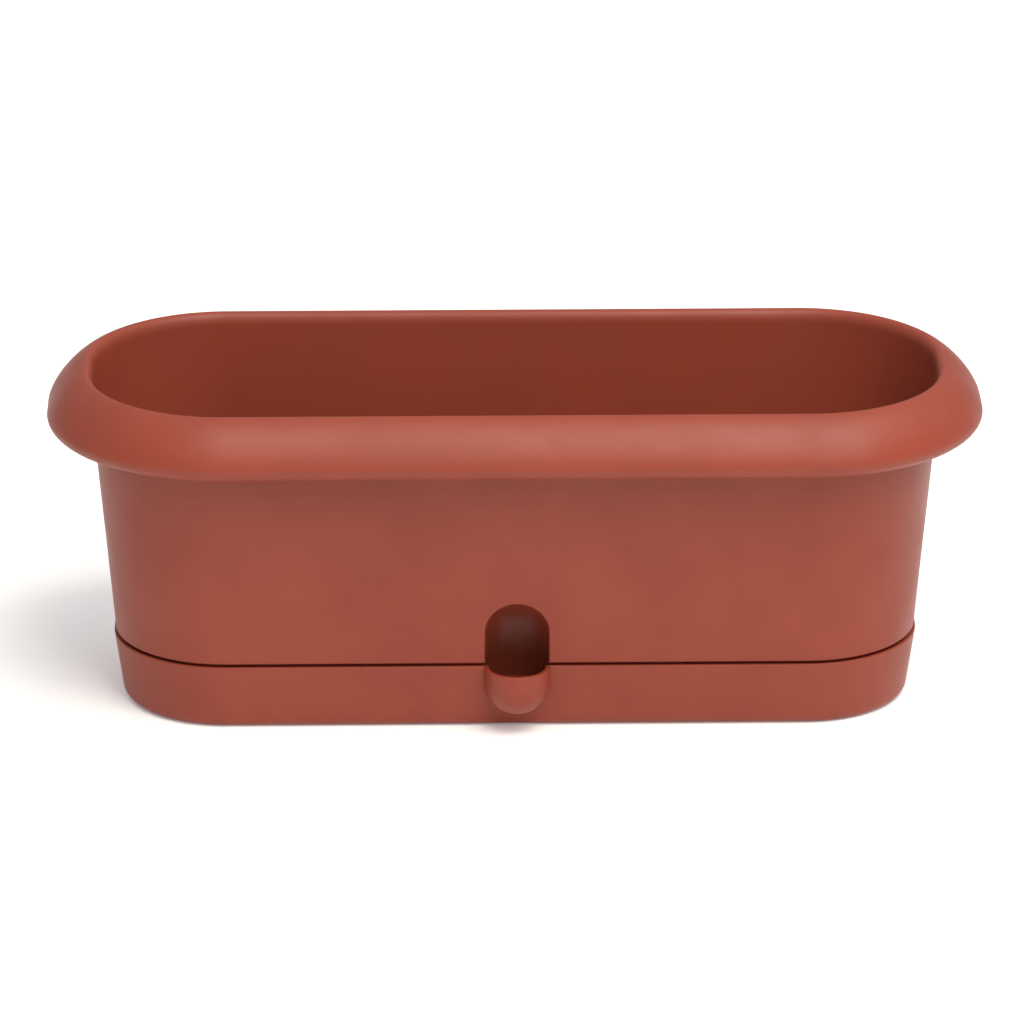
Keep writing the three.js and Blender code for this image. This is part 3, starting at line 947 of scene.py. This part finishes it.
wicks = {}
for side, sign in (("left", -1), ("right", 1)):
    for place, x in zip(("inner", "outer"), WICK_X):
        name = f"wick_{side}_{place}"
        strip, strip_length = wick(name, sign * x, len(wicks) + 1)
        wicks[name] = strip, f"felt_wick_{side}_{place}", f"grid_{side}"
print(f"strip length {strip_length * 1000:.1f} mm")

# %% [markdown]
# ## Finishes
#
# Three finishes cover the planter: coloured polypropylene with the mould's very fine grain, the same
# plastic recycled in dark grey for the tiles, and off-white felt. The plastics share two effects, so
# these are node groups with named inputs. "Mould grain" gives a height for the Bump node and a mask
# of slow unevenness. "Handling wear" gives a mask of scuffs between two heights.


# %% Node group helpers
def group_tree(name, inputs, outputs):
    tree = bpy.data.node_groups.new(name, "ShaderNodeTree")
    for label, value in inputs:
        socket = tree.interface.new_socket(label, in_out="INPUT", socket_type="NodeSocketFloat")
        socket.default_value = value
    for label in outputs:
        tree.interface.new_socket(label, in_out="OUTPUT", socket_type="NodeSocketFloat")
    return tree, tree.nodes.new("NodeGroupInput"), tree.nodes.new("NodeGroupOutput")


def math_node(tree, operation, a, b=None, c=None, clamp=False):
    node = tree.nodes.new("ShaderNodeMath")
    node.operation, node.use_clamp = operation, clamp
    for socket, value in zip(node.inputs, (a, b, c)):
        if isinstance(value, bpy.types.NodeSocket):
            tree.links.new(value, socket)
        elif value is not None:
            socket.default_value = value
    return node.outputs[0]


def noise_node(tree, vector, scale, detail=3.0, roughness=0.5):
    node = tree.nodes.new("ShaderNodeTexNoise")
    node.inputs["Detail"].default_value = detail
    node.inputs["Roughness"].default_value = roughness
    tree.links.new(vector, node.inputs["Vector"])
    if isinstance(scale, bpy.types.NodeSocket):
        tree.links.new(scale, node.inputs["Scale"])
    else:
        node.inputs["Scale"].default_value = scale
    return node.outputs["Fac"]


def range_node(tree, value, low, high, to_low=0.0, to_high=1.0, smooth=True):
    node = tree.nodes.new("ShaderNodeMapRange")
    node.interpolation_type = "SMOOTHSTEP" if smooth else "LINEAR"
    for label, number in (("From Min", low), ("From Max", high), ("To Min", to_low), ("To Max", to_high)):
        if isinstance(number, bpy.types.NodeSocket):
            tree.links.new(number, node.inputs[label])
        else:
            node.inputs[label].default_value = number
    tree.links.new(value, node.inputs["Value"])
    return node.outputs["Result"]


# %% Mould grain
def mould_grain():
    """Fine pimples from the spark-eroded mould, and slow unevenness of the moulded skin."""
    inputs = [("Grain Scale", 2600.0), ("Uneven Scale", 28.0)]
    tree, source, result = group_tree("Mould grain", inputs, ("Height", "Uneven", "Specks"))
    where = tree.nodes.new("ShaderNodeTexCoord").outputs["Object"]
    fine = noise_node(tree, where, source.outputs["Grain Scale"], 2.0, 0.6)
    coarse = noise_node(tree, where, math_node(tree, "MULTIPLY", source.outputs["Grain Scale"], 0.35), 2.0)
    tree.links.new(math_node(tree, "MULTIPLY_ADD", coarse, 0.6, fine), result.inputs["Height"])
    slow = noise_node(tree, where, source.outputs["Uneven Scale"], 4.0, 0.55)
    tree.links.new(range_node(tree, slow, 0.3, 0.7), result.inputs["Uneven"])
    dots = noise_node(tree, where, math_node(tree, "MULTIPLY", source.outputs["Grain Scale"], 0.22), 1.0)
    tree.links.new(range_node(tree, dots, 0.68, 0.8), result.inputs["Specks"])
    return tree


GRAIN = mould_grain()


# %% Handling wear
def handling_wear():
    """Faint scuffs and fine scratches in a band of height, thinned by broad noise."""
    inputs = [("Low", 0.0), ("High", 0.01), ("Fade", 0.01), ("Amount", 0.5)]
    tree, source, result = group_tree("Handling wear", inputs, ("Mask",))
    where = tree.nodes.new("ShaderNodeTexCoord").outputs["Object"]
    apart = tree.nodes.new("ShaderNodeSeparateXYZ")
    tree.links.new(where, apart.inputs[0])
    z = apart.outputs["Z"]
    low_end = math_node(tree, "SUBTRACT", source.outputs["Low"], source.outputs["Fade"])
    high_end = math_node(tree, "ADD", source.outputs["High"], source.outputs["Fade"])
    rise = range_node(tree, z, low_end, source.outputs["Low"])
    fall = range_node(tree, z, source.outputs["High"], high_end, 1.0, 0.0)
    band = math_node(tree, "MULTIPLY", rise, fall)
    stretch = tree.nodes.new("ShaderNodeVectorMath")
    stretch.operation = "MULTIPLY"
    stretch.inputs[1].default_value = (1.0, 1.0, 9.0)
    tree.links.new(where, stretch.inputs[0])
    scratch = range_node(tree, noise_node(tree, stretch.outputs[0], 240.0, 5.0, 0.75), 0.56, 0.72)
    patch = range_node(tree, noise_node(tree, where, 34.0, 3.0, 0.6), 0.45, 0.75)
    worn = math_node(tree, "MULTIPLY", scratch, patch)
    worn = math_node(tree, "MULTIPLY", worn, band)
    tree.links.new(math_node(tree, "MULTIPLY", worn, source.outputs["Amount"]), result.inputs["Mask"])
    return tree


WEAR = handling_wear()


# %% [markdown]
# The back of the filling well is painted darker than the rest, as painted shade in the recess. The mask
# holds within the well's capsule shape, behind its middle, and fades out up the niche.

# %% Painted shade in the well
def painted_well_shade():
    # Painted shade: a mask that darkens the back and bottom of the filling well.
    tree, source, result = group_tree("Damp well", [("Amount", 0.5)], ("Mask",))
    where = tree.nodes.new("ShaderNodeTexCoord").outputs["Object"]
    apart = tree.nodes.new("ShaderNodeSeparateXYZ")
    tree.links.new(where, apart.inputs[0])
    y_off = math_node(tree, "SUBTRACT", apart.outputs["Y"], WELL_Y)
    under = math_node(tree, "MINIMUM", math_node(tree, "SUBTRACT", apart.outputs["Z"], CUP_BOWL_Z), 0.0)
    squares = [math_node(tree, "MULTIPLY", part, part) for part in (apart.outputs["X"], y_off, under)]
    away = math_node(tree, "ADD", math_node(tree, "ADD", squares[0], squares[1]), squares[2])
    away = math_node(tree, "SQRT", away)
    near = range_node(tree, away, NICHE_R + 0.1 * MM, CUP_R - 0.05 * MM, 1.0, 0.0)
    behind = range_node(tree, y_off, -6 * MM, 6 * MM)
    ragged = math_node(tree, "MULTIPLY_ADD", noise_node(tree, where, 130.0), 16 * MM, apart.outputs["Z"])
    below = range_node(tree, ragged, 40 * MM, 66 * MM, 1.0, 0.0)
    mask = math_node(tree, "MULTIPLY", math_node(tree, "MULTIPLY", near, behind), below)
    tree.links.new(math_node(tree, "MULTIPLY", mask, source.outputs["Amount"]), result.inputs["Mask"])
    return tree


PAINTED_SHADE = painted_well_shade()


# %% [markdown]
# Each plastic is one Principled shader. Its base colour moves a little between two tones with the
# slow unevenness, scuffs make it paler and rougher, and the grain goes to a Bump node. The constants
# that are the same all over are set on the shader's own sockets.

# %% Plastics
def mix_colour(tree, factor, a, b):
    node = tree.nodes.new("ShaderNodeMix")
    node.data_type = "RGBA"
    tree.links.new(factor, node.inputs["Factor"])
    for name, value in (("A", a), ("B", b)):
        socket = next(s for s in node.inputs if s.name == name and s.type == "RGBA")
        if isinstance(value, bpy.types.NodeSocket):
            tree.links.new(value, socket)
        else:
            socket.default_value = (*value, 1.0)
    return next(s for s in node.outputs if s.type == "RGBA")


def linear(*rgb):
    """Linear colour from the 0 to 255 values of a colour card."""
    return tuple(((c / 255 + 0.055) / 1.055) ** 2.4 if c > 10 else c / 255 / 12.92 for c in rgb)


def plastic(name, tone, other_tone, scuffed, rough, bands, specular=0.5, bump=0.06, grain_scale=2600.0, damp_and_shade=0.0):
    material = bpy.data.materials.new(name)
    material.use_nodes = True
    tree = material.node_tree
    shader = tree.nodes["Principled BSDF"]
    shader.inputs["Specular IOR Level"].default_value = specular
    grain = tree.nodes.new("ShaderNodeGroup")
    grain.node_tree = GRAIN
    grain.inputs["Grain Scale"].default_value = grain_scale
    colour = mix_colour(tree, grain.outputs["Uneven"], tone, other_tone)
    speck = math_node(tree, "MULTIPLY", grain.outputs["Specks"], 0.12)
    colour = mix_colour(tree, speck, colour, tuple(0.55 * c for c in tone))
    roughness = range_node(tree, grain.outputs["Uneven"], 0.0, 1.0, rough - 0.035, rough + 0.035)
    height = grain.outputs["Height"]
    for low, high, fade, amount in bands:
        wear = tree.nodes.new("ShaderNodeGroup")
        wear.node_tree = WEAR
        for label, value in (("Low", low), ("High", high), ("Fade", fade), ("Amount", amount)):
            wear.inputs[label].default_value = value
        colour = mix_colour(tree, wear.outputs["Mask"], colour, scuffed)
        roughness = math_node(tree, "MULTIPLY_ADD", wear.outputs["Mask"], 0.15, roughness)
    # Painted shade: the back of the filling well is darkened towards a near-black tone of the plastic and made a
    # little glossier.
    if damp_and_shade:
        shade_node = tree.nodes.new("ShaderNodeGroup")
        shade_node.node_tree = PAINTED_SHADE
        shade_node.inputs["Amount"].default_value = damp_and_shade
        colour = mix_colour(tree, shade_node.outputs["Mask"], colour, tuple(0.12 * c for c in tone))
        roughness = math_node(tree, "MULTIPLY_ADD", shade_node.outputs["Mask"], -0.12, roughness)
    bumps = tree.nodes.new("ShaderNodeBump")
    bumps.inputs["Strength"].default_value = bump
    bumps.inputs["Distance"].default_value = 0.1 * MM
    tree.links.new(height, bumps.inputs["Height"])
    tree.links.new(colour, shader.inputs["Base Color"])
    tree.links.new(roughness, shader.inputs["Roughness"])
    tree.links.new(bumps.outputs["Normal"], shader.inputs["Normal"])
    return material


TERRACOTTA = linear(138, 59, 41)
TERRACOTTA_DEEP = linear(133, 56, 39)
TERRACOTTA_PALE = linear(158, 84, 65)
terracotta = plastic(
    "terracotta_plastic",
    TERRACOTTA,
    TERRACOTTA_DEEP,
    TERRACOTTA_PALE,
    0.46,
    [(0.0, 4 * MM, 5 * MM, 0.5), (RIM_WIDE_Z - 5 * MM, RIM_WIDE_Z + 3 * MM, 5 * MM, 0.22)],
    specular=0.31,
    # Painted shade in the filling well.
    damp_and_shade=0.6,
)
grid_plastic = plastic(
    "recycled_grey_plastic",
    linear(58, 58, 59),
    linear(46, 46, 48),
    linear(92, 91, 90),
    0.55,
    [(TILE_TOP - MM, TILE_TOP, MM, 0.4)],
    specular=0.4,
    bump=0.1,
    grain_scale=1800.0,
)


# %% [markdown]
# Felt is a mat of fibres that lie every way. Two stretched noises crossed at right angles read as
# short fibres, a finer one as the needle marks, and a little sheen gives the fuzz its soft edge. The
# tails, which stand in water, are a shade darker.

# %% Felt
def felt_material():
    material = bpy.data.materials.new("needled_felt")
    material.use_nodes = True
    tree = material.node_tree
    shader = tree.nodes["Principled BSDF"]
    shader.inputs["Specular IOR Level"].default_value = 0.15
    shader.inputs["Sheen Weight"].default_value = 0.35
    shader.inputs["Sheen Roughness"].default_value = 0.5
    where = tree.nodes.new("ShaderNodeTexCoord").outputs["Object"]
    fibres = []
    for stretch in ((1.0, 6.0, 1.0), (6.0, 1.0, 1.4), (3.0, 3.0, 5.0)):
        scaled = tree.nodes.new("ShaderNodeVectorMath")
        scaled.operation = "MULTIPLY"
        scaled.inputs[1].default_value = stretch
        tree.links.new(where, scaled.inputs[0])
        fibres.append(noise_node(tree, scaled.outputs[0], 620.0, 4.0, 0.65))
    mat = math_node(tree, "MULTIPLY", math_node(tree, "ADD", fibres[0], fibres[1]), 0.5)
    mat = math_node(tree, "MULTIPLY_ADD", fibres[2], 0.5, mat)
    slow = range_node(tree, noise_node(tree, where, 90.0, 3.0), 0.3, 0.7)
    colour = mix_colour(tree, slow, linear(224, 221, 210), linear(206, 201, 187))
    shade = range_node(tree, mat, 0.55, 0.95)
    colour = mix_colour(tree, math_node(tree, "MULTIPLY", shade, 0.3), linear(170, 165, 150), colour)
    apart = tree.nodes.new("ShaderNodeSeparateXYZ")
    tree.links.new(where, apart.inputs[0])
    damp_and_shade = range_node(tree, apart.outputs["Z"], 12 * MM, 30 * MM, 0.35, 0.0)
    colour = mix_colour(tree, damp_and_shade, colour, linear(168, 158, 138))
    bumps = tree.nodes.new("ShaderNodeBump")
    bumps.inputs["Strength"].default_value = 0.7
    bumps.inputs["Distance"].default_value = 0.5 * MM
    tree.links.new(mat, bumps.inputs["Height"])
    tree.links.new(colour, shader.inputs["Base Color"])
    tree.links.new(range_node(tree, mat, 0.4, 1.0, 0.88, 1.0), shader.inputs["Roughness"])
    tree.links.new(bumps.outputs["Normal"], shader.inputs["Normal"])
    return material


felt = felt_material()
print("materials:", [m.name for m in (terracotta, grid_plastic, felt)])


# %% [markdown]
# ## Dress the frame
#
# Every finished piece takes its material, rides on its body and stands for the CAD node it refines.

# %% Ride and replace
def finish_piece(obj, material, body, slot, *nodes):
    obj.data.materials.clear()
    obj.data.materials.append(material)
    for polygon in obj.data.polygons:
        polygon.material_index = 0
    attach(obj, body)
    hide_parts(*nodes)


finish_piece(tray, terracotta, "tray", "shell_plastic", "water_tray")
finish_piece(pot, terracotta, "pot", "shell_plastic", "planting_pot")
finish_piece(tile, grid_plastic, "grid_right", "grid_plastic", "grid_tile_right")
finish_piece(left_tile, grid_plastic, "grid_left", "grid_plastic", "grid_tile_left")
for name, (strip, node, body) in wicks.items():
    finish_piece(strip, felt, body, "wick_felt", node)
remove(PATH)

# %% [markdown]
# ## Floor, light and camera
#
# The planter stands on a plain pale floor. Two broad soft lamps above and in front, a little to the
# right, give the rim its wide highlight and leave the inside of the far wall in shade. A weak one
# lights the right-hand end. The sky is brighter overhead than at the horizon, so the wall darkens
# under the rim and the well goes dark inside. The camera looks straight at the long side from a
# little above, with a long lens.

# %% Floor
floor_obj = new_object("floor", [(-6, -6, 0), (6, -6, 0), (6, 6, 0), (-6, 6, 0)], [(0, 1, 2, 3)])
floor_material = bpy.data.materials.new("pale_floor")
floor_material.use_nodes = True
floor_shader = floor_material.node_tree.nodes["Principled BSDF"]
floor_shader.inputs["Base Color"].default_value = (0.9, 0.9, 0.9, 1)
floor_shader.inputs["Roughness"].default_value = 0.9
floor_shader.inputs["Specular IOR Level"].default_value = 0.1
floor_shader.inputs["Emission Color"].default_value = (1, 1, 1, 1)
floor_shader.inputs["Emission Strength"].default_value = 0.16
floor_obj.data.materials.append(floor_material)


# %% Lights
WARM = (1.0, 0.965, 0.88)


def area_light(name, place, target, size, size_y, power):
    lamp = bpy.data.lights.new(name, "AREA")
    lamp.shape, lamp.size, lamp.size_y = "RECTANGLE", size, size_y
    lamp.energy, lamp.color = power, WARM
    obj = bpy.data.objects.new(name, lamp)
    bpy.context.scene.collection.objects.link(obj)
    obj.location = place
    obj.rotation_euler = (Vector(target) - Vector(place)).to_track_quat("-Z", "Y").to_euler()
    return obj


middle = Vector((0, 0, 0.08))
area_light("key", (0.75, -1.5, 1.7), middle, 1.3, 1.0, 18)
area_light("overhead", (0.5, -0.9, 2.2), middle, 1.5, 0.9, 38)
area_light("side", (1.5, 0.2, 1.5), middle, 0.9, 0.9, 4)

# %% Sky
world = bpy.data.worlds.new("studio")
bpy.context.scene.world = world
world.use_nodes = True
sky = world.node_tree
background = sky.nodes["Background"]
background.inputs["Color"].default_value = (1, 1, 1, 1)
direction = sky.nodes.new("ShaderNodeSeparateXYZ")
sky.links.new(sky.nodes.new("ShaderNodeTexCoord").outputs["Generated"], direction.inputs[0])
strength = range_node(sky, direction.outputs["Z"], 0.35, 1.0, 0.45, 0.9)
sky.links.new(strength, background.inputs["Strength"])
bpy.context.scene.view_settings.view_transform = "Standard"

# %% Camera
AIM = Vector((-0.0012, 0, 0.0780))
DISTANCE = 3.399
ELEVATION = math.radians(20.86)
TURN = math.radians(-1.0)
camera_data = bpy.data.cameras.new("camera")
camera_data.lens = 277.46
camera_data.sensor_width = 36
camera_data.clip_end = 30
camera = bpy.data.objects.new("camera", camera_data)
bpy.context.scene.collection.objects.link(camera)
level = DISTANCE * math.cos(ELEVATION)
camera.location = AIM + Vector((level * math.sin(TURN), -level * math.cos(TURN), DISTANCE * math.sin(ELEVATION)))
camera.rotation_euler = (AIM - camera.location).to_track_quat("-Z", "Y").to_euler()
bpy.context.scene.camera = camera
print("camera at", [round(c, 3) for c in camera.location])
